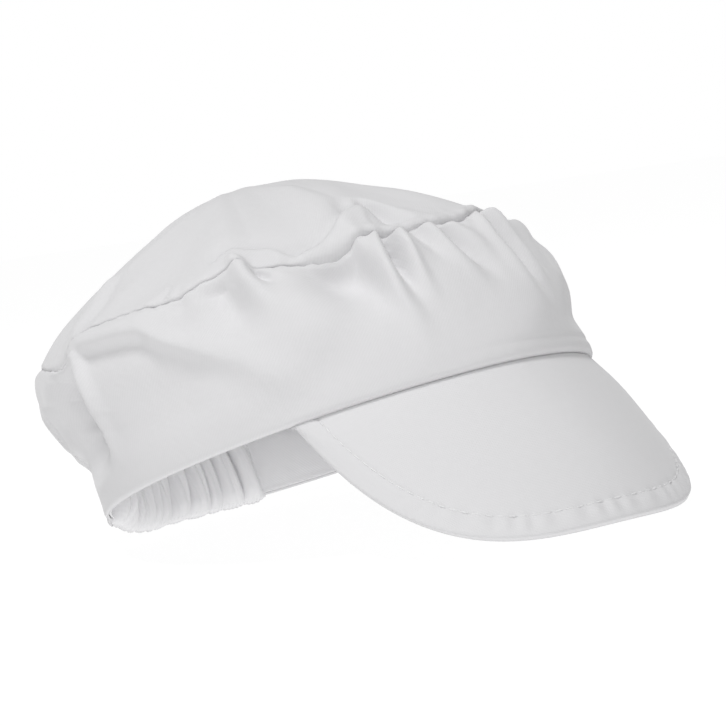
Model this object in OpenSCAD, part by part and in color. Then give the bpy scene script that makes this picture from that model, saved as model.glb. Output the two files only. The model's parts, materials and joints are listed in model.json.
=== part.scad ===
// Soft peaked work cap: a gathered cloth crown on a headband, a stiffened
// cloth-covered peak in front and an elastic casing behind.
// The cap is drawn with its rim level, then leaned so that it stands on the
// back of its rim and the front edge of its peak. Front is -Y, up is +Z.

/* [Head opening] */
// Half length of the relaxed opening, front to back
rim_half_length = 94; // [86:1:104]
// Half width of the relaxed opening
rim_half_width = 76; // [70:1:86]
// Fullness of the oval's corners, 2 is an ellipse
rim_power = 1.9; // [1.8:0.05:2.3]

/* [Crown] */
// Half length of the seam between the side strip and the top
seam_half_length = 91; // [84:1:104]
// Half width of the same seam
seam_half_width = 78; // [72:1:90]
// How far the seam sits behind the rim's centre
seam_set_back = 12.5; // [4:0.5:20]
// Height of the seam above the rim at the sides
seam_height = 52; // [44:1:66]
// How much the seam rises from the middle to the back
seam_rise = 4; // [0:0.5:10]
// Height of the crown's highest point above the rim
crown_height = 91; // [78:1:110]
// How far the highest point sits behind the rim's centre
crown_set_back = 24; // [0:1:34]
// Fullness of the crown's dome
crown_power = 1.8; // [1.5:0.1:2.6]
// How far the side strip swells between rim and seam
side_bulge = 2.5; // [0:0.5:6]

/* [Peak] */
// Half of the angle that the peak's seam covers
peak_reach = 51; // [44:1:58]
// Depth of the peak on its centre line
peak_depth = 59; // [50:1:72]
// Slope of the peak below the rim's plane
peak_slope = 66; // [50:1:72]
// How much the peak's sides are drawn forwards
peak_forward = 0.35; // [0.1:0.05:0.6]
// Fullness of the peak's front edge
peak_power = 3.4; // [2.6:0.2:4.2]
// Rise of the peak's camber between seam and edge
peak_arch = 2.5; // [0:0.5:4]
// Distance of the top-stitching from the peak's edge
peak_stitch_inset = 7; // [5:0.5:9]

/* [Back] */
// Half of the angle that the elastic casing covers
casing_half_angle = 33; // [26:1:60]
// How far the casing's middle lies from centre back, towards the near side
casing_turn = 14; // [0:1:20]
// Height of the elastic casing
casing_height = 21; // [16:1:26]
// Number of gathers in the casing
gathers = 14; // [10:1:24]
// Depth of each gather
gather_depth = 1.6; // [0.6:0.2:2.2]
// Height of the smooth headband facing
headband_height = 19; // [14:1:24]
// Width of the elastic
elastic_width = 15; // [10:1:16]

/* [Cloth and thread] */
// Thickness of the crown's cloth with its seam allowances
cloth = 1; // [0.8:0.1:1.2]
// Thickness of the facing, casing and peak covers
facing = 0.8; // [0.6:0.1:0.9]
// Thickness of the stiffener in the peak
board = 1.2; // [0.8:0.1:1.4]
// Thickness of the elastic
elastic = 1; // [0.6:0.1:1]
// Diameter of the sewing thread
thread_d = 0.6; // [0.4:0.1:0.8]
// Distance from one stitch to the next
stitch_pitch = 6; // [5:0.5:9]

/* [Hidden] */

columns = 72;
side_rows = 7;
dome_rows = 9;
peak_columns = 40;
peak_rows = 7;
step = 0.01;
layer_gap = 0.1;
body_gap = 0.4;
thread_sides = 8;
peak_root = -0.6;
peak_end = 0.985;
board_margin = 0.06;
label_w = 26;
label_h = 30;
label_angle = 152;

cloth_white = [0.93, 0.93, 0.93];
inner_white = [0.88, 0.88, 0.89];
elastic_white = [0.85, 0.85, 0.83];
board_grey = [0.78, 0.78, 0.76];
thread_white = [0.96, 0.96, 0.96];

function unit(v) = v / norm(v);
function power(x, p) = sign(x) * pow(abs(x), p);

// A point of an oval, counted from the front, positive towards -X.
function oval(t, half_length, half_width, p) =
    [-half_width * power(sin(t), 2 / p), -half_length * power(cos(t), 2 / p), 0];
function rim_at(t) = oval(t, rim_half_length, rim_half_width, rim_power);
function seam_at(t) = oval(t, seam_half_length, seam_half_width, 2)
    + [0, seam_set_back, seam_height - seam_rise * cos(t)];
function outward(t) = unit([-sin(t) / rim_half_width, -cos(t) / rim_half_length, 0]);

// The side strip: u runs from the rim, 0, to the seam, 1.
side_at = function(t, u)
    rim_at(t) * (1 - u) + seam_at(t) * u + outward(t) * side_bulge * sin(180 * u);

// The crown's top: r runs from the seam, 0, to the highest point, 1.
dome_at = function(t, r)
    let (s = 1 - r, edge = seam_at(t), top = [0, crown_set_back, crown_height])
    [edge.x * s, top.y + (edge.y - top.y) * s,
     edge.z + (top.z - edge.z) * (1 - pow(s, crown_power))];

// Depth of the peak at q, which runs across it from -1 to 1.
function depth_at(q) = peak_depth * pow(1 - pow(abs(q), peak_power), 1.06);

// The peak: v runs from its front edge, 0, up to the seam, 1.
peak_at = function(q, v)
    let (t = q * peak_reach,
         ahead = unit((1 - peak_forward) * outward(t) + peak_forward * [0, -1, 0]),
         depth = depth_at(q),
         run = depth * (1 - v),
         arch = peak_arch * sin(180 * v) * depth / peak_depth)
    rim_at(t) + [0, 0, peak_root]
    + ahead * (run * cos(peak_slope) + arch * sin(peak_slope))
    + [0, 0, -run * sin(peak_slope) + arch * cos(peak_slope)];

// The same surface, moved towards the inside by d.
function inset(f, a, b, d) =
    f(a, b) - d * unit(cross(f(a - step, b) - f(a + step, b), f(a, b + step) - f(a, b - step)));

function grid(f, across, along, d) = [for (b = along) [for (a = across) inset(f, a, b, d)]];
function spaced(from, to, count) = [for (i = [0:count]) from + (to - from) * i / count];

ring = [for (i = [0:columns - 1]) i * 360 / columns];
peak_across = spaced(-peak_end, peak_end, peak_columns);
side_up = spaced(0, 1, side_rows);
dome_up = spaced(0, 0.96, dome_rows);

// A closed thin solid between two grids of points. A wrapped one runs all the
// way round, and a capped one closes over its last row.
module shell(outer, inner, wrap = false, cap = false) {
    rows = len(outer);
    cols = len(outer[0]);
    last = rows - 1;
    spans = wrap ? cols - 1 : cols - 2;
    function o(r, c) = r * cols + c % cols;
    function i(r, c) = rows * cols + o(r, c);
    points = [for (r = outer) for (p = r) p, for (r = inner) for (p = r) p];
    faces = [
        for (r = [0:rows - 2], c = [0:spans])
            each [[o(r, c), o(r + 1, c + 1), o(r, c + 1)], [o(r, c), o(r + 1, c), o(r + 1, c + 1)]],
        for (r = [0:rows - 2], c = [0:spans])
            each [[i(r, c), i(r, c + 1), i(r + 1, c + 1)], [i(r, c), i(r + 1, c + 1), i(r + 1, c)]],
        for (c = [0:spans])
            each [[o(0, c), o(0, c + 1), i(0, c + 1)], [o(0, c), i(0, c + 1), i(0, c)]],
        if (!cap) for (c = [0:spans])
            each [[o(last, c), i(last, c), i(last, c + 1)], [o(last, c), i(last, c + 1), o(last, c + 1)]],
        if (cap) [for (c = [cols - 1:-1:0]) o(last, c)],
        if (cap) [for (c = [0:cols - 1]) i(last, c)],
        if (!wrap) for (r = [0:rows - 2])
            each [[o(r, 0), i(r, 0), i(r + 1, 0)], [o(r, 0), i(r + 1, 0), o(r + 1, 0)]],
        if (!wrap) for (r = [0:rows - 2])
            each [[o(r, cols - 1), i(r + 1, cols - 1), i(r, cols - 1)],
                  [o(r, cols - 1), o(r + 1, cols - 1), i(r + 1, cols - 1)]]
    ];
    polyhedron(points, faces, convexity = 8);
}

// A stitch is one short straight solid from a to b.
module stitch(a, b) {
    v = b - a;
    translate(a)
        rotate([0, acos(v.z / norm(v)), atan2(v.y, v.x)])
            cylinder(h = norm(v), d = thread_d, $fn = thread_sides);
}

// A row of stitches along a line of points, with a gap after each.
module stitches(line) {
    for (k = [0:2:len(line) - 2]) stitch(line[k], line[k + 1]);
}

// Where the leaning cap stands.
peak_tip_top = inset(peak_at, 0, 0, 0);
peak_tip_under = inset(peak_at, 0, 0, 2 * facing + board + 2 * layer_gap);
lean = atan(-peak_tip_under.z / (rim_half_length - peak_tip_under.y));
function leaned_y(p) = p.y * cos(lean) + p.z * sin(lean);
back_y = max([for (u = side_up) leaned_y(side_at(180, u))]);
front_y = leaned_y(peak_tip_top);

module place() {
    translate([0, -(front_y + back_y) / 2, rim_half_length * sin(lean)])
        rotate([-lean, 0, 0])
            children();
}

module crown_top() {
    color(cloth_white) place()
        shell(grid(dome_at, ring, dome_up, 0), grid(dome_at, ring, dome_up, cloth), true, true);
}

module crown_side() {
    color(cloth_white) place()
        shell(grid(side_at, ring, side_up, 0), grid(side_at, ring, side_up, cloth), true);
}

casing_start = 180 - casing_turn - casing_half_angle;
casing_end = 180 - casing_turn + casing_half_angle;

// The smooth facing runs round the front, from one end of the casing to the other.
facing_start = casing_end - 359;
facing_end = casing_start - 1;
facing_across = spaced(facing_start, facing_end, 52);
facing_up = spaced(0.02, headband_height / seam_height, 2);

module headband() {
    near = cloth + layer_gap;
    color(inner_white) place()
        shell(grid(side_at, facing_across, facing_up, near),
              grid(side_at, facing_across, facing_up, near + facing));
}

// The casing runs round the back, gathered by the elastic inside it.
casing_across = spaced(casing_start, casing_end, gathers * 6);
casing_up = spaced(0.02, casing_height / seam_height, 4);
elastic_near = cloth + body_gap;
casing_near = elastic_near + elastic + body_gap;
function gather(t) = gather_depth * (0.5 - 0.5 * cos((t - casing_start) * 180 * gathers / casing_half_angle));
function casing_grid(d) =
    [for (u = casing_up) [for (t = casing_across) inset(side_at, t, u, casing_near + d + gather(t))]];

module back_casing() {
    color(inner_white) place() shell(casing_grid(0), casing_grid(facing));
}

elastic_low = (casing_height - elastic_width) / 2;
elastic_up = spaced(elastic_low / seam_height, (elastic_low + elastic_width) / seam_height, 2);
elastic_across = spaced(casing_start + 1, casing_end - 1, 44);

module back_elastic() {
    color(elastic_white) place()
        shell(grid(side_at, elastic_across, elastic_up, elastic_near),
              grid(side_at, elastic_across, elastic_up, elastic_near + elastic));
}

module peak_layer(across, along, near, thick) {
    place() shell(grid(peak_at, across, along, near), grid(peak_at, across, along, near + thick));
}

peak_along = spaced(0, 0.99, peak_rows);
board_across = spaced(-peak_end + board_margin, peak_end - board_margin, peak_columns);
board_along = spaced(board_margin, 1 - board_margin, peak_rows);
board_near = facing + layer_gap;
under_near = board_near + board + layer_gap;

module peak_top_cover() {
    color(cloth_white) peak_layer(peak_across, peak_along, 0, facing);
}

module peak_board() {
    color(board_grey) peak_layer(board_across, board_along, board_near, board);
}

module peak_under_cover() {
    color(inner_white) peak_layer(peak_across, peak_along, under_near, facing);
}

// A blank label hangs inside, from the top of the casing beside centre back.
label_near = casing_near + gather_depth + facing + layer_gap;
label_span = label_w / rim_half_length * 28;
label_across = spaced(label_angle - label_span, label_angle + label_span, 5);
label_low = casing_height - label_h * 0.4;
label_up = spaced(label_low / seam_height, (label_low + label_h) / seam_height, 4);

module care_label() {
    color(thread_white) place()
        shell(grid(side_at, label_across, label_up, label_near),
              grid(side_at, label_across, label_up, label_near + facing / 2));
}

function row_count(length) = 2 * floor(length / stitch_pitch) + 1;
rim_length = PI * (rim_half_length + rim_half_width);

module crown_seam_thread() {
    line = [for (t = spaced(0, 360, row_count(rim_length))) seam_at(t)];
    color(thread_white) place() stitches(line);
}

module back_seam_thread() {
    line = [for (u = spaced(0.06, 0.94, row_count(seam_height))) side_at(180, u)];
    color(thread_white) place() stitches(line);
}

module headband_thread() {
    u = (headband_height - 2) / seam_height;
    near = cloth + layer_gap + facing;
    count = row_count(rim_length * (facing_end - facing_start) / 360);
    line = [for (t = spaced(facing_start + 1, facing_end - 1, count)) inset(side_at, t, u, near)];
    color(thread_white) place() stitches(line);
}

module peak_seam_thread() {
    count = row_count(rim_length * peak_reach / 180);
    line = [for (t = spaced(-peak_reach, peak_reach, count)) inset(side_at, t, 0.06, cloth + layer_gap / 2)];
    color(thread_white) place() stitches(line);
}

// The top-stitching follows the edge at an even distance, so it starts lower
// where the peak is shallow.
module peak_edge_thread() {
    count = row_count(2.6 * peak_depth + rim_half_width);
    line = [for (q = spaced(-0.88, 0.88, count)) inset(peak_at, q, peak_stitch_inset / depth_at(q), 0)];
    color(thread_white) place() stitches(line);
}

module casing_thread() {
    u = (casing_height - 2) / seam_height;
    near = casing_near + gather_depth / 2 + facing;
    count = row_count(rim_length * casing_half_angle / 180);
    line = [for (t = spaced(casing_start + 2, casing_end - 2, count)) inset(side_at, t, u, near)];
    color(thread_white) place() stitches(line);
}

module casing_end_tacks() {
    color(thread_white) place()
        for (t = [casing_start + 0.8, casing_end - 0.8])
            stitches([for (u = spaced(0.05, (casing_height - 2) / seam_height, 5))
                inset(side_at, t, u, casing_near + facing)]);
}

module label_thread() {
    u = (casing_height - 2) / seam_height;
    color(thread_white) place()
        stitches([for (t = spaced(label_angle - label_span + 1, label_angle + label_span - 1, 7))
            inset(side_at, t, u, label_near + facing / 2)]);
}

crown_top();
crown_side();
headband();
back_casing();
back_elastic();
peak_top_cover();
peak_board();
peak_under_cover();
care_label();
crown_seam_thread();
back_seam_thread();
headband_thread();
peak_seam_thread();
peak_edge_thread();
casing_thread();
casing_end_tacks();
label_thread();
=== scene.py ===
"""Soft peaked work cap: cloth crown, stiffened peak and elastic back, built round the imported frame.

Every piece is worked out in the cap's own frame, with its rim level, and is then leaned into place:
angles are counted round the cap in degrees, 0 at the front and positive towards -X, and heights
run from 0 at the rim over 1 at the crown seam to 2 at the highest point.
"""

import json
import math

import bmesh
import bpy
import numpy as np
from bpy.props import FloatProperty, FloatVectorProperty, IntProperty, PointerProperty
from mathutils import Matrix, Vector


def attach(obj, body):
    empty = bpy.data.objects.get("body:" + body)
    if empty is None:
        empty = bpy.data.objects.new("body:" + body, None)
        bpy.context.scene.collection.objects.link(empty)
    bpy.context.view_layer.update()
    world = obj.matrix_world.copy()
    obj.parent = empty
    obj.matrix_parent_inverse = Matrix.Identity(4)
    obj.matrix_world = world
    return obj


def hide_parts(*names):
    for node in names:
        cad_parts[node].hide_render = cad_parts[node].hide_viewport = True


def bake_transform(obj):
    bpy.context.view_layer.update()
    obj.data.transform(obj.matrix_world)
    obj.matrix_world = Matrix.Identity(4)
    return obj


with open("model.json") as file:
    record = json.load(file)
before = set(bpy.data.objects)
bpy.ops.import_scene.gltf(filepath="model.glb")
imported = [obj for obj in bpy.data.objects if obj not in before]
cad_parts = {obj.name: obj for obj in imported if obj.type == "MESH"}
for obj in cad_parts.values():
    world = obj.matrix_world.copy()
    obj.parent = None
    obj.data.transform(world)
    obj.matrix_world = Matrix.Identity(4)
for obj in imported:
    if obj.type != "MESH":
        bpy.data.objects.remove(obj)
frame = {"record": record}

bl_info = {
    "name": "Peaked Work Cap",
    "version": (1, 0, 0),
    "blender": (4, 5, 0),
    "location": "3D View > Sidebar > Work Cap",
    "description": "Builds a soft peaked work cap and the stage that it stands on",
    "category": "Add Mesh",
}

MM = 0.001
OPENING = frame["record"]["mounts"][0]
UP = -Vector(OPENING["axis"])
LEAN = math.atan2(UP.y, UP.z)
PLACE = Matrix.Translation(OPENING["pos_m"]) @ Matrix.Rotation(-LEAN, 4, "X")

# The crown's cloth, and how deep the layers inside it lie under its outer face
CLOTH_THICK = 0.9 * MM
FACING_DEPTH = 1.35 * MM
ELASTIC_DEPTH = 2.3 * MM
CASING_DEPTH = 3.3 * MM
LABEL_DEPTH = 7.4 * MM
SEAM_THREAD_DEPTH = 1.0 * MM
FACING_THREAD_DEPTH = 2.1 * MM
CASING_THREAD_DEPTH = 3.95 * MM


# ---------------------------------------------------------------- properties

def length(name, default, text):
    return FloatProperty(name=name, description=text, default=default, unit="LENGTH", precision=4)


def colour(name, default, text):
    return FloatVectorProperty(name=name, description=text, default=default, subtype="COLOR",
                               min=0.0, max=1.0, size=3)


class CapShape(bpy.types.PropertyGroup):
    """Driving sizes of the cap."""

    rim_half_length: length("Rim half length", 0.094, "Half of the opening, front to back")
    rim_half_width: length("Rim half width", 0.076, "Half of the opening, side to side")
    rim_power: FloatProperty(name="Rim fullness", description="2 is an ellipse", default=1.9)
    seam_half_length: length("Seam half length", 0.090, "Half of the crown seam, front to back")
    seam_half_width: length("Seam half width", 0.077, "Half of the crown seam, side to side")
    seam_set_back: length("Seam set back", 0.0125, "How far the crown seam sits behind the rim")
    seam_height: length("Seam height", 0.052, "Height of the crown seam above the rim")
    seam_rise: length("Seam rise", 0.004, "How much the crown seam rises to the back")
    crown_height: length("Crown height", 0.0916, "Height of the crown above the rim")
    crown_set_back: length("Crown set back", 0.024, "How far the crown's top sits to the back")
    peak_reach: FloatProperty(name="Peak reach", description="Half of the peak's seam, in degrees",
                              default=51.5)
    peak_depth: length("Peak depth", 0.0592, "Depth of the peak on its centre line")
    peak_slope: FloatProperty(name="Peak slope", description="Fall of the peak, in degrees",
                              default=66.0)
    peak_forward: FloatProperty(name="Peak forward", default=0.35,
                                description="How much the peak's sides are drawn forwards")
    peak_power: FloatProperty(name="Peak fullness", default=3.7,
                              description="Fullness of the peak's front edge")
    peak_arch: length("Peak camber", 0.0025, "Rise of the peak between seam and edge")
    stitch_inset: length("Stitch inset", 0.007, "Distance of the top-stitching from the edge")
    casing_height: length("Casing height", 0.021, "Height of the elastic casing")
    casing_from: FloatProperty(name="Casing from", description="Where the gathers begin, degrees",
                               default=133.0)
    casing_to: FloatProperty(name="Casing to", description="Where the gathers end, degrees",
                             default=199.0)
    gathers: IntProperty(name="Gathers", description="Number of gathers at the back", default=12)
    gather_depth: length("Gather depth", 0.0058, "Depth of the gathers")
    headband_height: length("Headband height", 0.019, "Height of the facing inside the rim")


class CapColours(bpy.types.PropertyGroup):
    """Colours of the cap's materials."""

    crown: colour("Crown cloth", (0.70, 0.697, 0.707), "White polycotton")
    # The facing is the crown's own cloth, set lighter than the crown as painted light: it stands in for
    # light reaching the inside of the cap.
    facing: colour("Facing cloth", (0.79, 0.787, 0.797), "Inside of the same cloth")
    elastic: colour("Elastic", (0.70, 0.69, 0.67), "Woven elastic")
    stiffener: colour("Stiffener", (0.60, 0.60, 0.58), "Sheet stiffener")
    thread: colour("Thread", (0.78, 0.78, 0.785), "Sewing thread")
    label: colour("Label", (0.80, 0.80, 0.79), "Satin tape")


def shape():
    return bpy.context.scene.work_cap_shape


# ---------------------------------------------------------------- curves and surfaces

def smooth(x, low, high):
    """0 below low, 1 above high, with a smooth turn between them."""
    u = np.clip((x - low) / (high - low), 0.0, 1.0)
    return u * u * (3 - 2 * u)


def signed_power(x, p):
    return np.sign(x) * np.abs(x) ** p


def unit(v):
    return v / np.maximum(np.linalg.norm(v, axis=-1, keepdims=True), 1e-12)


def point(x, y, z):
    return np.stack(np.broadcast_arrays(x, y, z), axis=-1).astype(float)


def oval(t, half_length, half_width, power):
    a = np.radians(t)
    return point(-half_width * signed_power(np.sin(a), 2 / power),
                 -half_length * signed_power(np.cos(a), 2 / power), 0.0 * a)


def outward(t):
    s = shape()
    a = np.radians(t)
    return unit(point(-np.sin(a) / s.rim_half_width, -np.cos(a) / s.rim_half_length, 0.0 * a))


def turn(t):
    """The same angle between -180 and 180."""
    return (np.asarray(t, float) + 180.0) % 360.0 - 180.0


def along(t, pairs):
    """A value that eases from one (angle, value) pair to the next, right round the cap."""
    angles = np.array([p[0] for p in pairs], float)
    values = np.array([p[1] for p in pairs], float)
    order = np.argsort(angles)
    angles, values = angles[order], values[order]
    angles = np.concatenate([[angles[-1] - 360], angles, [angles[0] + 360]])
    values = np.concatenate([[values[-1]], values, [values[0]]])
    a = turn(t)
    k = np.clip(np.searchsorted(angles, a) - 1, 0, len(angles) - 2)
    u = smooth(a, angles[k], angles[k + 1])
    return values[k] * (1 - u) + values[k + 1] * u


# How far the crown seam rides above or below its even line, in millimetres.
SEAM_RIDE = ((-150, 1), (-110, -2), (-75, 0), (-45, -4.5), (-26, -3), (-14, 1), (-4, -1), (11, -0.5),
             (17, 1.5), (30, -2), (40, -1), (47, 1.5), (62, -2), (76, -0.5), (90, -1), (103, -5),
             (125, -2), (160, 1))

# How far the crown seam lies outside its even line, in millimetres.
SEAM_SPREAD = ((-150, 0), (-85, -1.5), (-52, -8), (-24, -4), (-5, 0), (50, 0), (100, 0),
               (125, -2), (160, 0))


def rim_at(t):
    s = shape()
    return oval(t, s.rim_half_length, s.rim_half_width, s.rim_power)


def seam_at(t):
    s = shape()
    ring = oval(t, s.seam_half_length, s.seam_half_width, 2.0)
    lift = s.seam_height - s.seam_rise * np.cos(np.radians(t)) + MM * along(t, SEAM_RIDE)
    ring = ring + point(0.0 * ring[..., 0], s.seam_set_back, lift)
    return ring + MM * outward(t) * along(t, SEAM_SPREAD)[..., None]


def hermite(u, a, da, b, db):
    u = u[..., None]
    return ((2 * u**3 - 3 * u**2 + 1) * a + (u**3 - 2 * u**2 + u) * da
            + (3 * u**2 - 2 * u**3) * b + (u**3 - u**2) * db)


def crown_smooth(t, h):
    """The crown without its folds: one rounded profile from the rim over the seam to the top."""
    s = shape()
    t, h = np.broadcast_arrays(np.asarray(t, float), np.asarray(h, float))
    rim, seam = rim_at(t), seam_at(t)
    top = point(0.0 * t, s.crown_set_back, s.crown_height)
    inward = top - seam
    inward[..., 2] = 0.0
    reach = np.linalg.norm(inward, axis=-1, keepdims=True)
    inward = inward / reach
    up = point(0.0 * t, 0.0, 1.0)
    shoulder = unit(0.74 * inward + 0.67 * up)
    rise = s.seam_height
    side = hermite(np.clip(h, 0, 1), rim, 0.95 * rise * up + 0.16 * rise * outward(t),
                   seam, 0.62 * rise * shoulder)
    dome = hermite(np.clip(h - 1, 0, 1), seam, 0.82 * reach * shoulder, top, 0.95 * reach * inward)
    return np.where((h <= 1)[..., None], side, dome)


def crown_normal(t, h):
    step_t, step_h = 0.4, 0.01
    around = crown_smooth(t + step_t, h) - crown_smooth(t - step_t, h)
    low, high = np.clip(h - step_h, 0, 1.99), np.clip(h + step_h, 0, 1.99)
    upward = crown_smooth(t, high) - crown_smooth(t, low)
    n = unit(-np.cross(around, upward))
    return np.where((h > 1.97)[..., None], np.array([0.0, 0.0, 1.0]), n)


# ---------------------------------------------------------------- folds

AROUND_MM = 1.5     # length of one degree round the cap
SIDE_MM = 55.0      # length of the side strip's profile
TOP_MM = 88.0       # length of the top's profile


def laid_out(t, h, origin=0.0):
    """Angle from an origin and height, as millimetres on the cloth."""
    h = np.asarray(h, float)
    return turn(t - origin) * AROUND_MM, np.where(h <= 1, h * SIDE_MM, SIDE_MM + (h - 1) * TOP_MM)


def from_path(t, h, path):
    """Distance in mm from a line on the cloth, its side, and the share of the line passed."""
    origin = path[0][0]
    x, y = laid_out(t, h, origin)
    corners = [tuple(float(c) for c in laid_out(a, b, origin)) for a, b in path]
    spans = [math.dist(p, q) for p, q in zip(corners, corners[1:])]
    best = np.full(x.shape, 1e9)
    side, share = np.zeros(x.shape), np.zeros(x.shape)
    passed = 0.0
    for (x0, y0), (x1, y1), span in zip(corners, corners[1:], spans):
        ux, uy = (x1 - x0) / span, (y1 - y0) / span
        passing = np.clip((x - x0) * ux + (y - y0) * uy, 0, span)
        off = np.hypot(x - x0 - passing * ux, y - y0 - passing * uy)
        across = (x - x0) * uy - (y - y0) * ux
        nearer = off < best
        best = np.where(nearer, off, best)
        side = np.where(nearer, across, side)
        share = np.where(nearer, (passed + passing) / sum(spans), share)
        passed += span
    return best, side, share


def valley(t, h, path, width, depth, lip=0.45, hold=0.25):
    """A fold's valley with a soft lip on both sides. It fades after the hold share of its line."""
    off, _, share = from_path(t, h, path)
    fade = 1 - smooth(share, hold, 1.02)
    wide = width * (1 + 0.8 * share)
    trough = -np.exp(-(off / wide) ** 2)
    lips = lip * np.exp(-((off - 2.1 * wide) / (1.1 * wide)) ** 2)
    return depth * fade * (trough + lips)


def ledge(t, h, path, width, depth, ends=0.18):
    """One side of the line stands above the other: positive depth lifts the line's right."""
    off, side, share = from_path(t, h, path)
    fade = smooth(share, -0.01, ends) * (1 - smooth(share, 1 - ends, 1.01))
    return depth * fade * np.tanh(side / width) * np.exp(-(off / (3.4 * width)) ** 2)


def hollow(t, h, centre, size, depth):
    x, y = laid_out(t, h, centre[0])
    _, cy = laid_out(centre[0], centre[1], centre[0])
    return -depth * np.exp(-(x / size[0]) ** 2 - ((y - cy) / size[1]) ** 2)


# Gathers hang from the crown seam: where each starts, turns and ends, its width and its depth.
GATHERS = (
    (((14, 1.00), (15.5, 0.75), (18.5, 0.34)), 1.5, 6.4),
    (((8, 1.00), (7, 0.80), (6, 0.60)), 2.0, 2.2),
    (((2.5, 1.00), (0, 0.80), (-6, 0.40)), 2.2, 3.6),
    (((-8, 1.00), (-9.5, 0.84)), 1.0, 1.6),
    (((-12, 1.00), (-14, 0.74), (-19, 0.28)), 2.0, 6.0),
    (((-34, 1.00), (-36, 0.50)), 3.0, 1.8),
    (((-52, 1.01), (-50, 0.42)), 3.0, 2.8),
    (((-69, 1.01), (-74, 0.55)), 2.4, 2.2),
    (((-88, 1.00), (-84, 0.30)), 3.6, 3.2),
    (((-112, 1.00), (-118, 0.45)), 3.2, 2.8),
    (((-134, 1.00), (-131, 0.52)), 2.6, 2.4),
    (((128, 1.00), (133, 0.42)), 3.0, 2.4),
    (((156, 1.00), (152, 0.55)), 2.6, 2.0),
    (((178, 1.00), (180, 0.60)), 2.8, 1.8),
    (((-160, 1.00), (-163, 0.50)), 2.8, 2.2),
)


# The other folds: each one's kind, its line or centre, its size in millimetres and its depth.
FOLDS = (
    # the pinch beside the temple: a ridge that falls from it between two hollows
    (valley, ((46, 1.03), (44.5, 0.80), (43, 0.50)), 2.6, -3.2, 0.0, 0.1),
    (valley, ((42.5, 0.92), (40.5, 0.76)), 1.8, 2.2, 0.2),
    (valley, ((51.5, 0.86), (50, 0.44)), 4.6, 4.0, 0.2, 0.4),
    (valley, ((60, 0.90), (58, 0.62)), 5.0, 1.6, 0.3, 0.4),
    # the soft hollow behind the front gathers, and the swell between them
    (hollow, (26.5, 0.78), (11, 14), 10.0),
    (hollow, (36, 0.50), (14, 13), -2.6),
    (hollow, (20, 0.70), (3.4, 18), -5.0),
    # the deep fold at the back of the near side and the ridge beside it
    (valley, ((101, 0.76), (104, 0.58), (106, 0.38), (105, 0.14)), 9.6, 15.5, 0.0, 0.5),
    (hollow, (128, 0.70), (13, 14), 1.6),
    (valley, ((90, 0.82), (91, 0.55), (97, 0.14)), 2.4, -3.0, 0.0, 0.6),
    (ledge, ((93, 0.87), (78, 0.80), (64, 0.72)), 2.8, 2.4, 0.25),
    (valley, ((68, 0.72), (54, 0.42), (43, 0.06)), 3.2, -1.8, 0.15, 0.5),
    (hollow, (72, 0.42), (22, 13), 2.4),
    # the far side of the front, drawn in under a swell below its seam
    (hollow, (-54, 0.17), (26, 11), 6.0),
    (hollow, (-22, 0.90), (20, 8), -3.4),
    (hollow, (-52, 0.62), (28, 15), -6.0),
    (hollow, (-40, 0.90), (20, 9), -1.8),
    # rolls of cloth along the top, above the seam
    (ledge, ((52, 1.08), (46, 1.14), (38, 1.12), (33, 1.04)), 1.7, -2.0),
    (ledge, ((35, 1.04), (24, 1.10), (14, 1.20), (10, 1.14)), 2.0, -3.4),
    (valley, ((8, 1.24), (8.5, 1.04)), 2.2, 3.0, 0.4, 0.7),
    (valley, ((62, 1.08), (67, 0.92)), 1.3, 0.9, 0.3, 0.5),
    (ledge, ((86, 1.36), (86, 1.14), (92, 1.00)), 2.0, -1.3),
    (hollow, (-30, 1.08), (28, 9), -2.4),
    (hollow, (122, 1.20), (56, 22), -3.0),
    (hollow, (-70, 1.40), (30, 24), 2.5),
    (hollow, (-150, 1.35), (30, 26), 2.2),
)


def crown_folds(t, h):
    """How far the cloth stands off its smooth shape, in millimetres."""
    d = np.zeros(np.broadcast(t, h).shape)
    _, y = laid_out(t, h)
    below = 0.12 + 0.88 * smooth(SIDE_MM - y, -0.5, 5.0)
    for path, width, depth in GATHERS:
        d += valley(t, h, path, width, depth) * below
    for kind, *sizes in FOLDS:
        d += kind(t, h, *sizes)
    return d


def ripples(t, h, seed, count, wave, size):
    """Low irregular swells, periodic round the cap, in millimetres."""
    rng = np.random.default_rng(seed)
    _, y = laid_out(t, h)
    a = np.radians(t)
    total = np.zeros(np.broadcast(t, h).shape)
    turns = 540.0 / wave
    for _ in range(count):
        around = round(rng.uniform(0.35, 1.0) * turns)
        tall = rng.uniform(0.4, 1.0) / wave
        total += np.sin(around * a + 2 * np.pi * tall * y + rng.uniform(0, 2 * np.pi))
    return size * total / math.sqrt(count)


def gather_wave(t, h):
    """The casing's puffs: 0 in each sharp valley, 1 on each rounded crest, and where they are."""
    s = shape()
    w = (np.asarray(t, float) % 360.0 - s.casing_from) / (s.casing_to - s.casing_from)
    inside = smooth(w, -0.03, 0.03) * (1 - smooth(w, 0.97, 1.03))
    slant = 0.020 * np.sin(2.2 * h / (s.casing_height / s.seam_height) + 5.0 * w)
    warp = np.abs(w) ** 0.82 + 0.016 * np.sin(14.5 * w + 1.0) + 0.008 * np.sin(33.0 * w) + slant
    crest = np.abs(np.sin(np.pi * s.gathers * warp)) ** 0.55
    uneven = 0.82 + 0.18 * np.sin(21.0 * w + 0.7)
    return crest * uneven * inside, inside


def back_blouse(t, h):
    """The back hangs over the casing, whose stitching draws it in: its offset in millimetres."""
    s = shape()
    line = s.casing_height / s.seam_height
    back = smooth(np.abs(turn(t)), 100, 128)
    over = smooth(h, line - 0.12, line + 0.03) * (1 - smooth(h, 0.62, 1.0))
    return back * (3.0 * over - 3.0 * np.sin(np.pi * np.clip(h / (1.7 * line), 0, 1)))


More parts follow.
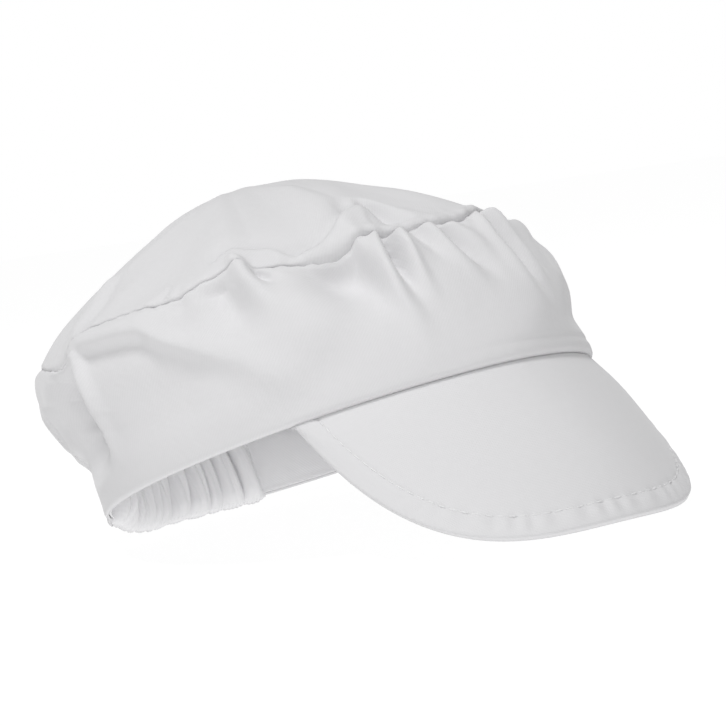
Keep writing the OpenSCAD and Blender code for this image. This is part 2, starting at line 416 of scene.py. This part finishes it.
def back_sag(t, h):
    """The gathered part of the rim hangs lower, a little more at each crest, in metres."""
    s = shape()
    round_it = np.asarray(t, float) % 360.0
    crest, inside = gather_wave(t, h)
    sag = 1.7 * smooth(round_it, 137, 147) * (1 - smooth(round_it, 156, 176)) + 0.9 * crest * inside
    return sag * MM * np.clip(1 - h * s.seam_height / s.casing_height, 0, 1) ** 2


def crown_offset(t, h):
    """All that lifts the outer cloth off its smooth shape, in metres."""
    s = shape()
    t, h = np.broadcast_arrays(np.asarray(t, float), np.asarray(h, float))
    casing_top = s.casing_height / s.seam_height
    free = smooth(h, 0.02, 0.30) * (1 - smooth(h, 1.55, 1.9))
    d = free * (crown_folds(t, h) + ripples(t, h, 5, 9, 46.0, 0.55) + ripples(t, h, 8, 9, 19.0, 0.16))
    # the seam is drawn in, and puckers a little
    _, y = laid_out(t, h)
    from_seam = np.abs(y - SIDE_MM)
    d -= 0.75 * np.exp(-(from_seam / 0.9) ** 2)
    lap = np.exp(-((y - SIDE_MM - 2.2) / 1.8) ** 2) - np.exp(-((y - SIDE_MM + 0.8) / 1.2) ** 2)
    d += 0.9 * lap * (1 - smooth(np.abs(turn(t)), 16, 40))
    d += 0.22 * np.sin(np.radians(t) * 97 + 2 * np.sin(np.radians(t) * 11)) * np.exp(-from_seam / 3.5)
    # the turned edge shows through as a faint line above the rim
    d -= 0.32 * np.exp(-((y - 5.6) / 0.9) ** 2) * (1 - smooth(np.abs(turn(t) + 30), 25, 50))
    # the rim's turned edge
    d -= 0.9 * np.clip(1 - h / 0.035, 0, 1) ** 2
    d += back_blouse(t, h)
    crest, inside = gather_wave(t, h)
    low = 1 - smooth(h, casing_top * 0.9, casing_top * 1.1)
    above = smooth(h, casing_top, casing_top * 1.2) * (1 - smooth(h, casing_top * 1.3, casing_top * 2.3))
    d += inside * (crest - 0.35) * (1.9 * low + 1.5 * above)
    return d * MM


def crown_at(t, h, inset=0.0):
    """The outer cloth, or a layer under it."""
    t, h = np.broadcast_arrays(np.asarray(t, float), np.asarray(h, float))
    p = crown_smooth(t, h) + crown_normal(t, h) * (crown_offset(t, h) - inset)[..., None]
    p[..., 2] -= back_sag(t, h)
    return p


def peak_depth_at(q):
    s = shape()
    return s.peak_depth * (1 - 0.025 * q) * (1 - np.abs(q) ** s.peak_power) ** 1.06


def peak_smooth(q, v):
    """The peak's upper face: q across it from -1 to 1, v from its seam, 0, to its edge, 1."""
    s = shape()
    q, v = np.broadcast_arrays(np.asarray(q, float), np.asarray(v, float))
    t = q * s.peak_reach
    ahead = unit((1 - s.peak_forward) * outward(t) + s.peak_forward * np.array([0.0, -1.0, 0.0]))
    depth = peak_depth_at(q)
    slope = math.radians(s.peak_slope)
    run = (depth * v)[..., None]
    arch = (s.peak_arch * np.sin(np.pi * v) * depth / s.peak_depth)[..., None]
    down = np.array([0.0, 0.0, -1.0])
    root = rim_at(t) - 1.2 * MM * outward(t) + point(0.0 * t, 0.0, 0.3 * MM)
    return root + ahead * (run * math.cos(slope) + arch * math.sin(slope)) \
        + down * (run * math.sin(slope) - arch * math.cos(slope))


def peak_normal(q, v):
    e = 0.004
    q = np.clip(q, -0.994, 0.994)
    v = np.clip(v, e, 1 - e)
    return unit(np.cross(peak_smooth(q + e, v) - peak_smooth(q - e, v),
                         peak_smooth(q, v + e) - peak_smooth(q, v - e)))


def edge_distance(p):
    """Distance of each point from the peak's free edge, and how far along the edge it is."""
    q = np.sin(np.linspace(-0.5, 0.5, 4000) * np.pi)
    line = peak_smooth(q, np.ones_like(q))
    travelled = np.concatenate([[0], np.cumsum(np.linalg.norm(np.diff(line, axis=0), axis=1))])
    even = np.linspace(0, travelled[-1], 1100)
    line = np.stack([np.interp(even, travelled, line[:, i]) for i in range(3)], axis=1)
    travelled = even
    flat = p.reshape(-1, 3)
    nearest = np.concatenate([
        np.linalg.norm(flat[k:k + 4000, None] - line[None], axis=2).argmin(axis=1)
        for k in range(0, len(flat), 4000)])
    best, where = np.full(len(flat), 1e9), np.zeros(len(flat))
    for first in (np.maximum(nearest - 1, 0), np.minimum(nearest, len(line) - 2)):
        start, run = line[first], line[first + 1] - line[first]
        share = np.clip(np.sum((flat - start) * run, axis=1) / np.sum(run * run, axis=1), 0, 1)
        off = np.linalg.norm(flat - start - share[:, None] * run, axis=1)
        where = np.where(off < best, travelled[first] + share * (travelled[1] - travelled[0]), where)
        best = np.minimum(best, off)
    return best.reshape(p.shape[:-1]), where.reshape(p.shape[:-1])


PEAK_THICK = 2.5 * MM


def peak_at(q, v, under=False):
    """The cloth of the peak: both covers round over to meet in the middle of the edge."""
    s = shape()
    p = peak_smooth(q, v)
    e, where = edge_distance(p)
    half = PEAK_THICK / 2
    rounding = half * (1 - np.sqrt(np.clip(1 - (1 - np.clip(e / half, 0, 1)) ** 2, 0, 1)))
    from_stitch = (e - s.stitch_inset) / MM
    strip = np.clip(e / s.stitch_inset, 0, 1)
    puff = 0.22 * np.sin(np.pi * strip) ** 0.9 - 0.26 * np.exp(-(from_stitch / 0.7) ** 2)
    front = smooth(np.abs(q), 0.85, 0.45)
    mm = where / MM
    pucker = np.sin(mm * 0.86 + 1.3 * np.sin(mm * 0.21)) * np.exp(-((e / MM - 5.0) / 2.6) ** 2)
    swell = 0.4 * np.sin(q * 7.0 + 1.0 + 3.0 * v) * np.sin(np.pi * np.clip(v, 0, 1)) ** 2
    lift = (puff + (0.03 + 0.27 * front) * pucker + swell) * MM
    offset = -PEAK_THICK + rounding - 0.6 * lift if under else lift - rounding
    return p + peak_normal(q, v) * offset[..., None]


# ---------------------------------------------------------------- making meshes

def grid_piece(name, surface, columns, rows, cloth, thick, wrap=False, flip=False):
    """A piece of cloth: a grid whose corners are laid on a surface of two shares, then thickened.

    Its UV map is in metres of cloth, so that the weave keeps its size."""
    bm = bmesh.new()
    bmesh.ops.create_grid(bm, x_segments=columns, y_segments=rows, size=1.0, calc_uvs=True)
    bm.verts.index_update()
    shares = np.array([v.co for v in bm.verts])[:, :2] * 0.5 + 0.5
    placed = surface(shares[:, 0], shares[:, 1])
    uv = bm.loops.layers.uv.verify()
    for face in bm.faces:
        for loop in face.loops:
            a, b = shares[loop.vert.index]
            loop[uv].uv = (a * cloth[0], b * cloth[1])
    for vert, co in zip(bm.verts, placed):
        vert.co = co
    if wrap:
        bmesh.ops.remove_doubles(bm, verts=bm.verts, dist=1e-6)
    if flip:
        bmesh.ops.reverse_faces(bm, faces=bm.faces)
    piece = mesh_object(name, bm)
    wall = piece.modifiers.new("Cloth thickness", "SOLIDIFY")
    wall.thickness = thick
    wall.offset = -1.0
    settle(piece)
    return piece


def mesh_object(name, bm):
    """An object at the origin whose mesh is leaned into the cap's place."""
    mesh = bpy.data.meshes.new(name)
    bm.to_mesh(mesh)
    bm.free()
    mesh.transform(PLACE)
    mesh.polygons.foreach_set("use_smooth", [True] * len(mesh.polygons))
    piece = bpy.data.objects.new(name, mesh)
    bpy.context.scene.collection.objects.link(piece)
    return piece


def settle(piece):
    """Applies the piece's modifiers to its mesh."""
    bpy.context.view_layer.update()
    made = piece.evaluated_get(bpy.context.evaluated_depsgraph_get())
    mesh = bpy.data.meshes.new_from_object(made)
    piece.modifiers.clear()
    piece.data = mesh
    mesh.polygons.foreach_set("use_smooth", [True] * len(mesh.polygons))


def spread(a, low, high):
    return low + (high - low) * a


STITCH = 2.6 * MM
THREAD_THICK = 0.5 * MM
THREAD_FLATNESS = 0.72


def stitch_row(name, line, out):
    """A row of short threads along a line of points, each lying on the cloth."""
    bm = bmesh.new()
    add_stitches(bm, line, out, 0.7 * MM)
    return mesh_object(name, bm)


def add_stitches(bm, line, out, gap):
    travelled = np.concatenate([[0], np.cumsum(np.linalg.norm(np.diff(line, axis=0), axis=1))])
    count = int(travelled[-1] / (STITCH + gap))
    turned = Matrix.Rotation(math.pi / 2, 4, "Y")
    for k in range(count):
        start = (k + 0.5) * travelled[-1] / count - STITCH / 2
        ends = [np.array([np.interp(start + d, travelled, line[:, i]) for i in range(3)])
                for d in (0.0, STITCH)]
        normal = np.array([np.interp(start, travelled, out[:, i]) for i in range(3)])
        run = Vector(ends[1] - ends[0])
        lift = Vector(normal).normalized()
        side = run.cross(lift).normalized()
        middle = Vector((ends[0] + ends[1]) / 2)
        half = THREAD_THICK / 2
        size = Matrix((run * 0.5, side * half, lift * half * THREAD_FLATNESS)).transposed().to_4x4()
        bmesh.ops.create_uvsphere(bm, u_segments=8, v_segments=5, radius=1.0,
                                  matrix=Matrix.Translation(middle) @ size @ turned)


# ---------------------------------------------------------------- materials

def nodes_of(name):
    material = bpy.data.materials.new(name)
    material.use_nodes = True
    tree = material.node_tree
    return material, tree, tree.nodes["Principled BSDF"]


def cloth_material(name, colour_value, weave=0.00055, weave_depth=0.00006, crumple=0.0012):
    """Matte twill: fine diagonal ribs crossed by yarns, slubs, a faint crumple and a soft sheen."""
    material, tree, shader = nodes_of(name)
    new, link = tree.nodes.new, tree.links.new
    uv = new("ShaderNodeUVMap")
    ribs = new("ShaderNodeTexWave")
    ribs.bands_direction = "DIAGONAL"
    ribs.inputs["Scale"].default_value = 0.314 / weave
    ribs.inputs["Distortion"].default_value = 0.6
    ribs.inputs["Detail"].default_value = 1.0
    yarns = new("ShaderNodeTexWave")
    yarns.bands_direction = "X"
    yarns.inputs["Scale"].default_value = 0.314 / (weave * 0.8)
    yarns.inputs["Distortion"].default_value = 0.8
    slub = new("ShaderNodeTexNoise")
    slub.inputs["Scale"].default_value = 420.0
    slub.inputs["Detail"].default_value = 3.0
    place = new("ShaderNodeTexCoord")
    folds = new("ShaderNodeTexNoise")
    folds.inputs["Scale"].default_value = 42.0
    folds.inputs["Detail"].default_value = 4.0
    folds.inputs["Roughness"].default_value = 0.55
    folds.inputs["Distortion"].default_value = 0.4
    for texture in (ribs, yarns, slub):
        link(uv.outputs["UV"], texture.inputs["Vector"])
    link(place.outputs["Object"], folds.inputs["Vector"])
    woven = new("ShaderNodeMix")
    woven.inputs["Factor"].default_value = 0.4
    link(ribs.outputs["Fac"], woven.inputs["A"])
    link(yarns.outputs["Fac"], woven.inputs["B"])
    surface = new("ShaderNodeMix")
    surface.inputs["Factor"].default_value = 0.45
    link(woven.outputs["Result"], surface.inputs["A"])
    link(slub.outputs["Fac"], surface.inputs["B"])
    fine = new("ShaderNodeBump")
    fine.inputs["Strength"].default_value = 0.7
    fine.inputs["Distance"].default_value = weave_depth
    coarse = new("ShaderNodeBump")
    coarse.inputs["Strength"].default_value = 0.6
    coarse.inputs["Distance"].default_value = crumple
    link(folds.outputs["Fac"], coarse.inputs["Height"])
    link(coarse.outputs["Normal"], fine.inputs["Normal"])
    link(surface.outputs["Result"], fine.inputs["Height"])
    link(fine.outputs["Normal"], shader.inputs["Normal"])
    tint = new("ShaderNodeMix")
    tint.data_type = "RGBA"
    tint.inputs["A"].default_value = (*[c * 0.955 for c in colour_value], 1.0)
    tint.inputs["B"].default_value = (*[min(1.0, c * 1.02) for c in colour_value], 1.0)
    link(surface.outputs["Result"], tint.inputs["Factor"])
    link(tint.outputs["Result"], shader.inputs["Base Color"])
    shader.inputs["Roughness"].default_value = 0.9
    shader.inputs["Specular IOR Level"].default_value = 0.25
    shader.inputs["Sheen Weight"].default_value = 0.18
    shader.inputs["Sheen Roughness"].default_value = 0.45
    return material


def plain_material(name, colour_value, roughness, grain, depth):
    """A quiet finish with a fine grain."""
    material, tree, shader = nodes_of(name)
    new, link = tree.nodes.new, tree.links.new
    place = new("ShaderNodeTexCoord")
    noise = new("ShaderNodeTexNoise")
    noise.inputs["Scale"].default_value = grain
    noise.inputs["Detail"].default_value = 3.0
    bump = new("ShaderNodeBump")
    bump.inputs["Strength"].default_value = 0.5
    bump.inputs["Distance"].default_value = depth
    tint = new("ShaderNodeMix")
    tint.data_type = "RGBA"
    tint.inputs["A"].default_value = (*[c * 0.93 for c in colour_value], 1.0)
    tint.inputs["B"].default_value = (*colour_value, 1.0)
    link(place.outputs["Object"], noise.inputs["Vector"])
    link(noise.outputs["Fac"], bump.inputs["Height"])
    link(noise.outputs["Fac"], tint.inputs["Factor"])
    link(bump.outputs["Normal"], shader.inputs["Normal"])
    link(tint.outputs["Result"], shader.inputs["Base Color"])
    shader.inputs["Roughness"].default_value = roughness
    return material


def dress(piece, slot_name, *nodes):
    """Gives a piece its material, named after its slot, and hides the CAD nodes that it stands for."""
    colours = bpy.context.scene.work_cap_colours
    makers = {
        "crown_cloth": lambda: cloth_material("White twill", colours.crown),
        "peak_cloth": lambda: cloth_material("White twill, stretched", colours.crown, crumple=0.0007),
        # the facing and the casing inside the cap share this lighter copy of the crown's twill, which is
        # painted light for the shaded inside
        "facing_cloth": lambda: cloth_material("White twill inside, lightened as painted light", colours.facing),
        "elastic": lambda: cloth_material("Woven elastic", colours.elastic, 0.0011, 0.0002, 0.0001),
        "stiffener": lambda: plain_material("Sheet stiffener", colours.stiffener, 0.5, 300.0, 0.00004),
        "label": lambda: cloth_material("Satin tape", colours.label, 0.0003, 0.00002, 0.0001),
        "thread": lambda: plain_material("Spun thread", colours.thread, 0.8, 2500.0, 0.00008),
    }
    found = bpy.data.materials.get("slot " + slot_name)
    if found is None:
        found = makers[slot_name]()
        found.name = "slot " + slot_name
    piece.data.materials.clear()
    piece.data.materials.append(found)
    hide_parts(*nodes)


def stretch_with_back(piece):
    """Bakes the place of cloth that runs from the crown to the elastic back into its mesh."""
    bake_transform(piece)


def flex_with_peak(piece):
    """Bakes the place of cloth on the peak into its mesh."""
    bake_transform(piece)


# ---------------------------------------------------------------- pieces

class WORKCAP_OT_crown(bpy.types.Operator):
    """Sew the side strip and the top of the crown"""

    bl_idname = "work_cap.crown"
    bl_label = "Crown"

    def execute(self, context):
        side = grid_piece("crown_side_cloth", lambda a, b: crown_at(spread(a, -180, 180), b),
                          520, 66, cloth=(0.54, 0.056), wrap=True, flip=True, thick=CLOTH_THICK)
        dress(side, "crown_cloth", "crown_side")
        stretch_with_back(side)
        top = grid_piece("crown_top_cloth", lambda a, b: crown_at(spread(a, -180, 180), 1 + b),
                         520, 62, cloth=(0.53, 0.088), wrap=True, flip=True, thick=CLOTH_THICK)
        dress(top, "crown_cloth", "crown_top")
        stretch_with_back(top)
        return {"FINISHED"}


class WORKCAP_OT_headband(bpy.types.Operator):
    """Face the inside of the rim, from one end of the casing round the front to the other"""

    bl_idname = "work_cap.headband"
    bl_label = "Headband facing"

    def execute(self, context):
        s = context.scene.work_cap_shape
        high = s.headband_height / s.seam_height
        start, end = s.casing_to - 360, s.casing_from

        def facing(a, b):
            t = spread(a, start - 1.5, end + 1.5)
            wave = 0.25 * np.sin(t * 0.31) * b + 0.12 * np.sin(t * 1.1 + 2) * b
            return crown_at(t, spread(b, 0.012, high), FACING_DEPTH + wave * MM)

        piece = grid_piece("headband_facing", facing, 360, 16, cloth=(0.46, 0.019),
                           flip=True, thick=0.7 * MM)
        dress(piece, "facing_cloth", "headband")
        stretch_with_back(piece)
        return {"FINISHED"}


def tunnel_at(t, h, inset):
    """The cloth behind the gathers, without its puffs."""
    offset = back_blouse(t, h) * MM - inset
    p = crown_smooth(t, h) + crown_normal(t, h) * np.asarray(offset)[..., None]
    p[..., 2] -= back_sag(t, h)
    return p


class WORKCAP_OT_back(bpy.types.Operator):
    """Gather the casing over its elastic"""

    bl_idname = "work_cap.back"
    bl_label = "Elastic back"

    def execute(self, context):
        s = context.scene.work_cap_shape
        high = s.casing_height / s.seam_height

        def casing(a, b):
            """Puffs between the elastic's stitches: a runs from the near end, b up from the rim."""
            t, h = spread(a, s.casing_from - 0.5, s.casing_to + 0.5), spread(b, -0.03, high)
            crest, _ = gather_wave(t, h)
            body = np.sin(np.pi * np.clip(b, 0, 1)) ** 0.5
            turned = np.sqrt(np.clip(1 - (1 - np.clip(b / 0.2, 0, 1)) ** 2, 0, 1))
            ends = smooth(a, 0.0, 0.03) * (1 - smooth(a, 0.97, 1.0))
            puff = s.gather_depth * (crest * (0.45 + 0.55 * body) + 0.07 * np.sin(t * 2.3 + 4 * b) * body)
            # fine wrinkles bunch at the near end
            bunched = 1 - smooth(t, 140, 156)
            puff += MM * bunched * body * (1.3 * np.sin(t * 2.3 + 3 * b) + 0.8 * np.sin(t * 4.1 - 6 * b))
            deeper = (CASING_DEPTH - CLOTH_THICK + puff) * turned * ends
            p = tunnel_at(t, np.clip(h, 0, 2), CLOTH_THICK + deeper)
            p[..., 2] -= 0.25 * MM * ends * (1 - smooth(b, 0.0, 0.12)) * (1 + np.sin(t * 5.3))
            return p

        piece = grid_piece("back_casing_cloth", casing, 420, 34, cloth=(0.17, 0.022),
                           flip=True, thick=0.6 * MM)
        dress(piece, "facing_cloth", "back_casing")
        stretch_with_back(piece)

        def band(a, b):
            t = spread(a, s.casing_from + 0.5, s.casing_to - 0.5)
            return tunnel_at(t, spread(b, 0.07, 0.34), ELASTIC_DEPTH + 0.0 * t)

        elastic = grid_piece("flat_elastic", band, 90, 8, cloth=(0.085, 0.015), flip=True, thick=0.8 * MM)
        dress(elastic, "elastic", "back_elastic")
        stretch_with_back(elastic)
        return {"FINISHED"}


class WORKCAP_OT_peak(bpy.types.Operator):
    """Cover the stiffener of the peak with cloth"""

    bl_idname = "work_cap.peak"
    bl_label = "Peak"

    def execute(self, context):
        across = lambda a: np.sin((a - 0.5) * np.pi)
        top = grid_piece("peak_top_cloth", lambda a, b: peak_at(across(a), b), 260, 80,
                         cloth=(0.16, 0.06), thick=0.55 * MM)
        dress(top, "peak_cloth", "peak_top_cover")
        flex_with_peak(top)
        under = grid_piece("peak_under_cloth", lambda a, b: peak_at(across(a), b, True), 260, 80,
                           cloth=(0.16, 0.06), flip=True, thick=0.55 * MM)
        dress(under, "peak_cloth", "peak_under_cover")
        flex_with_peak(under)

        def sheet_at(a, b):
            q, v = spread(a, -0.93, 0.93), spread(b, 0.04, 0.95)
            return peak_smooth(q, v) - peak_normal(q, v) * 0.9 * MM

        board = grid_piece("peak_stiffener", sheet_at, 120, 30, cloth=(0.14, 0.055), thick=1.1 * MM)
        dress(board, "stiffener", "peak_board")
        flex_with_peak(board)
        return {"FINISHED"}


class WORKCAP_OT_threads(bpy.types.Operator):
    """Run the rows of stitches"""

    bl_idname = "work_cap.threads"
    bl_label = "Stitching"

    def execute(self, context):
        s = context.scene.work_cap_shape
        self.peak_edge(s)
        ring = np.linspace(-180, 180, 721)
        one = np.ones_like(ring)
        normal = crown_normal(ring, one)
        seam = stitch_row("crown_seam_stitches", crown_at(ring, one, SEAM_THREAD_DEPTH), -normal)
        dress(seam, "thread", "crown_seam_thread")
        stretch_with_back(seam)
        up = np.linspace(0.05, 0.95, 120)
        back = 180 + 0 * up
        line = crown_at(back, up, 0.95 * SEAM_THREAD_DEPTH)
        closing = stitch_row("back_seam_stitches", line, -crown_normal(back, up))
        dress(closing, "thread", "back_seam_thread")
        stretch_with_back(closing)
        start, end = s.casing_to - 360, s.casing_from
        t = np.linspace(start + 1, end - 1, 600)
        h = 0 * t + (s.headband_height - 2 * MM) / s.seam_height
        facing = stitch_row("headband_stitches", crown_at(t, h, FACING_THREAD_DEPTH), -crown_normal(t, h))
        dress(facing, "thread", "headband_thread")
        stretch_with_back(facing)
        t = np.linspace(-s.peak_reach, s.peak_reach, 300)
        h = 0 * t + 0.05
        joining = stitch_row("peak_seam_stitches", crown_at(t, h, FACING_THREAD_DEPTH), -crown_normal(t, h))
        dress(joining, "thread", "peak_seam_thread")
        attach(joining, "crown")
        self.casing(s)
        return {"FINISHED"}

    def peak_edge(self, s):
        """The top-stitching keeps its distance from the edge, found by halving along each line."""
        q = np.linspace(-0.955, 0.955, 400)
        low, high = np.zeros_like(q), np.ones_like(q)
        for _ in range(22):
            v = (low + high) / 2
            e, _ = edge_distance(peak_smooth(q, v))
            inside = e > s.stitch_inset
            low, high = np.where(inside, v, low), np.where(inside, high, v)
        reached = low > 0.02
        q, v = q[reached], low[reached]
        out = peak_normal(q, v)
        row = stitch_row("peak_top_stitches", peak_at(q, v) + out * 0.10 * MM, out)
        dress(row, "thread", "peak_edge_thread")
        flex_with_peak(row)

    def casing(self, s):
        high = (s.casing_height - 1.6 * MM) / s.seam_height
        t = np.linspace(s.casing_from + 1, s.casing_to - 1, 240)
        h = 0 * t + high
        crest, _ = gather_wave(t, h)
        depth = CASING_THREAD_DEPTH + s.gather_depth * crest * 0.75
        row = stitch_row("casing_stitches", tunnel_at(t, h, depth), -crown_normal(t, h))
        dress(row, "thread", "casing_thread")
        stretch_with_back(row)
        bm = bmesh.new()
        up = np.linspace(0.03, high, 40)
        for angle in (s.casing_from + 0.3, s.casing_to - 0.3):
            t = angle + 0 * up
            line = tunnel_at(t, up, CASING_THREAD_DEPTH + 0.15 * MM + 0 * up)
            add_stitches(bm, line, -crown_normal(t, up), 0.5 * MM)
        tacks = mesh_object("casing_end_stitches", bm)
        dress(tacks, "thread", "casing_end_tacks")
        stretch_with_back(tacks)


class WORKCAP_OT_label(bpy.types.Operator):
    """Sew in the blank label"""

    bl_idname = "work_cap.label"
    bl_label = "Care label"

    def execute(self, context):
        s = context.scene.work_cap_shape
        low = (s.casing_height - 5 * MM) / s.seam_height
        start, end = 144, 160

        def tape(a, b):
            t, h = spread(a, start, end), spread(b, low, low + 0.55)
            curl = 2.2 * np.sin(np.pi * a) * b + 1.5 * b
            return tunnel_at(t, h, LABEL_DEPTH + curl * MM)

        piece = grid_piece("blank_label", tape, 40, 40, cloth=(0.025, 0.03), flip=True, thick=0.25 * MM)
        dress(piece, "label", "care_label")
        stretch_with_back(piece)
        t = np.linspace(start + 1, end - 1, 60)
        h = 0 * t + low + 0.03
        line = tunnel_at(t, h, LABEL_DEPTH + 0.4 * MM + 0 * t)
        row = stitch_row("label_stitches", line, -crown_normal(t, h))
        dress(row, "thread", "label_thread")
        stretch_with_back(row)
        return {"FINISHED"}


# ---------------------------------------------------------------- stage

VIEW_AZIMUTH = -38.0
VIEW_ELEVATION = 14.81
VIEW_PITCH = 28.43
VIEW_DISTANCE = 0.800
VIEW_SHIFT = (-0.0055, -0.02545)
VIEW_LENS = 124.825
FLOOR_HEIGHT = -1.7 * MM    # just under the lowest crest of the gathers


class WORKCAP_OT_stage(bpy.types.Operator):
    """Set the floor, the lights and the camera"""

    bl_idname = "work_cap.stage"
    bl_label = "Stage"

    def execute(self, context):
        self.floor()
        self.lights(context)
        self.camera(context)
        return {"FINISHED"}

    def floor(self):
        bm = bmesh.new()
        bmesh.ops.create_circle(bm, cap_ends=True, radius=12.0, segments=96)
        mesh = bpy.data.meshes.new("floor")
        bm.to_mesh(mesh)
        bm.free()
        floor = bpy.data.objects.new("floor", mesh)
        floor.location = (0.0, 0.0, FLOOR_HEIGHT)
        bpy.context.scene.collection.objects.link(floor)
        material, _, shader = nodes_of("Pale floor")
        shader.inputs["Base Color"].default_value = (0.12, 0.12, 0.12, 1.0)
        shader.inputs["Roughness"].default_value = 0.9
        shader.inputs["Specular IOR Level"].default_value = 0.0
        shader.inputs["Emission Color"].default_value = (1.0, 1.0, 1.0, 1.0)
        shader.inputs["Emission Strength"].default_value = 0.94
        mesh.materials.append(material)

    def lights(self, context):
        world = context.scene.world or bpy.data.worlds.new("World")
        context.scene.world = world
        world.use_nodes = True
        tree = world.node_tree
        new, link = tree.nodes.new, tree.links.new
        background = tree.nodes["Background"]
        background.inputs["Strength"].default_value = 1.0

        def eased(source, start, end, last):
            """1 up to the start, easing to the last value at the end."""
            node = new("ShaderNodeMapRange")
            node.interpolation_type = "SMOOTHSTEP"
            for socket, value in (("From Min", start), ("From Max", end), ("To Min", 1.0), ("To Max", last)):
                node.inputs[socket].default_value = value
            link(source, node.inputs["Value"])
            return node.outputs["Result"]

        # white walls under a dimmer ceiling
        towards = new("ShaderNodeTexCoord")
        split = new("ShaderNodeSeparateXYZ")
        link(towards.outputs["Generated"], split.inputs["Vector"])
        height = eased(split.outputs["Z"], 0.12, 0.28, 0.56)
        # the walls to the left and the right are grey
        dot = new("ShaderNodeVectorMath")
        dot.operation = "DOT_PRODUCT"
        dot.inputs[1].default_value = (-0.79, 0.61, 0.0)
        link(towards.outputs["Generated"], dot.inputs[0])
        either = new("ShaderNodeMath")
        either.operation = "ABSOLUTE"
        link(dot.outputs["Value"], either.inputs[0])
        product = new("ShaderNodeMath")
        product.operation = "MULTIPLY"
        link(height, product.inputs[0])
        link(eased(either.outputs["Value"], 0.15, 0.85, 0.36), product.inputs[1])
        link(product.outputs["Value"], background.inputs["Color"])
        self.softbox("key", (-0.62, -0.02, 1.90), 0.45, 20.0)
        self.softbox("low fill", (-0.80, -1.14, 0.07), 0.25, 3.5)

    def softbox(self, name, place, size, power):
        data = bpy.data.lights.new(name, "AREA")
        data.energy = power
        data.size = size
        lamp = bpy.data.objects.new(name, data)
        lamp.location = place
        aim = Vector((0, 0, 0.05)) - Vector(place)
        lamp.rotation_euler = aim.to_track_quat("-Z", "Y").to_euler()
        bpy.context.scene.collection.objects.link(lamp)

    def camera(self, context):
        a, e = math.radians(VIEW_AZIMUTH), math.radians(VIEW_ELEVATION)
        back = Vector((math.sin(a) * math.cos(e), -math.cos(a) * math.cos(e), math.sin(e)))
        right = (-back).cross(Vector((0, 0, 1))).normalized()
        up = right.cross(-back)
        place = back * VIEW_DISTANCE - right * VIEW_SHIFT[0] - up * VIEW_SHIFT[1]
        level = Matrix((right, up, back)).transposed().to_4x4()
        tilt = Matrix.Rotation(math.radians(VIEW_PITCH), 4, "X")
        data = bpy.data.cameras.new("camera")
        data.sensor_width = 36.0
        data.lens = VIEW_LENS
        data.clip_start = 0.01
        camera = bpy.data.objects.new("camera", data)
        camera.matrix_world = PLACE @ tilt @ Matrix.Translation(place) @ level
        context.scene.collection.objects.link(camera)
        context.scene.camera = camera
        context.scene.view_settings.view_transform = "Standard"


class WORKCAP_PT_panel(bpy.types.Panel):
    """Buttons and sizes for the cap"""

    bl_idname = "WORKCAP_PT_panel"
    bl_label = "Work Cap"
    bl_space_type = "VIEW_3D"
    bl_region_type = "UI"
    bl_category = "Work Cap"

    def draw(self, context):
        for operator in OPERATORS:
            self.layout.operator(operator.bl_idname)
        for group in (context.scene.work_cap_shape, context.scene.work_cap_colours):
            for name in group.__annotations__:
                self.layout.prop(group, name)


OPERATORS = (WORKCAP_OT_crown, WORKCAP_OT_headband, WORKCAP_OT_back, WORKCAP_OT_peak,
             WORKCAP_OT_threads, WORKCAP_OT_label, WORKCAP_OT_stage)
CLASSES = (CapShape, CapColours, *OPERATORS, WORKCAP_PT_panel)


def register():
    for cls in CLASSES:
        bpy.utils.register_class(cls)
    bpy.types.Scene.work_cap_shape = PointerProperty(type=CapShape)
    bpy.types.Scene.work_cap_colours = PointerProperty(type=CapColours)


def unregister():
    del bpy.types.Scene.work_cap_shape
    del bpy.types.Scene.work_cap_colours
    for cls in reversed(CLASSES):
        bpy.utils.unregister_class(cls)


def main():
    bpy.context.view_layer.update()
    register()
    bpy.ops.work_cap.crown()
    bpy.ops.work_cap.headband()
    bpy.ops.work_cap.back()
    bpy.ops.work_cap.peak()
    bpy.ops.work_cap.threads()
    bpy.ops.work_cap.label()
    bpy.ops.work_cap.stage()


if __name__ == "__main__":
    main()
